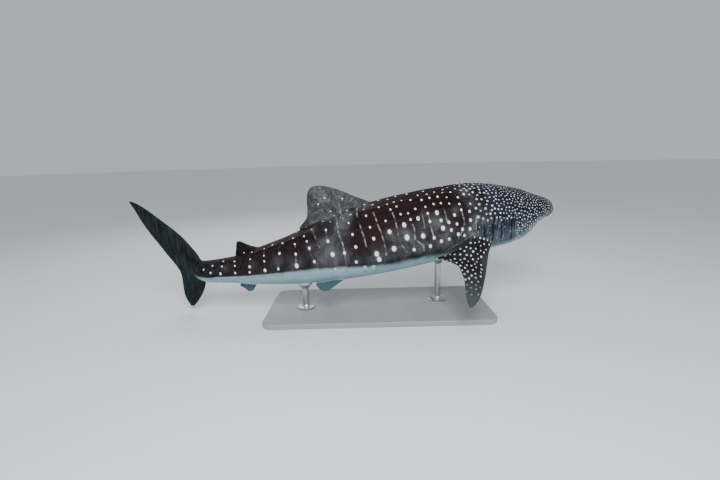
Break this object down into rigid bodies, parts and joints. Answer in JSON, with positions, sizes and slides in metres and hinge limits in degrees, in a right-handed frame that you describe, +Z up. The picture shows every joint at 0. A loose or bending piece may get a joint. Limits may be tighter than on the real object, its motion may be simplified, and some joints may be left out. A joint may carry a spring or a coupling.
{
  "type": "whale shark",
  "caption": "Whole whale shark swimming in a gentle bend, with gill slits, flank ridges and fins, held on a flat base by two short rods.",
  "frame": {"origin": "middle of the bounding box, on the floor under the base", "axes": "+X from the tail to the snout, +Y to the shark's left, +Z up"},
  "size_m": [5.2888, 1.9714, 1.5606],
  "materials": {
    "skin": "satin skin, near-black back with white spots and thin pale bars, grey fins, pale belly",
    "eye": "wet gloss, dark pupil in a grey-brown iris",
    "stand_plinth": "painted satin grey",
    "stand_steel": "brushed"
  },
  "bodies": {
    "root": {"head": "skin", "lower_jaw": "skin", "eye_right": "eye", "eye_left": "eye", "gill_region": "skin", "trunk_front": "skin", "trunk_middle": "skin", "tail_stem": "skin", "caudal_peduncle": "skin", "dorsal_fin_first": "skin", "dorsal_fin_second": "skin", "anal_fin": "skin", "pectoral_fin_right": "skin", "pectoral_fin_left": "skin", "pelvic_fin_right": "skin", "pelvic_fin_left": "skin", "caudal_fin_upper_lobe": "skin", "caudal_fin_lower_lobe": "skin", "stand_base": "stand_plinth", "stand_rod_front": "stand_steel", "stand_rod_rear": "stand_steel"}
  },
  "joints": []
}
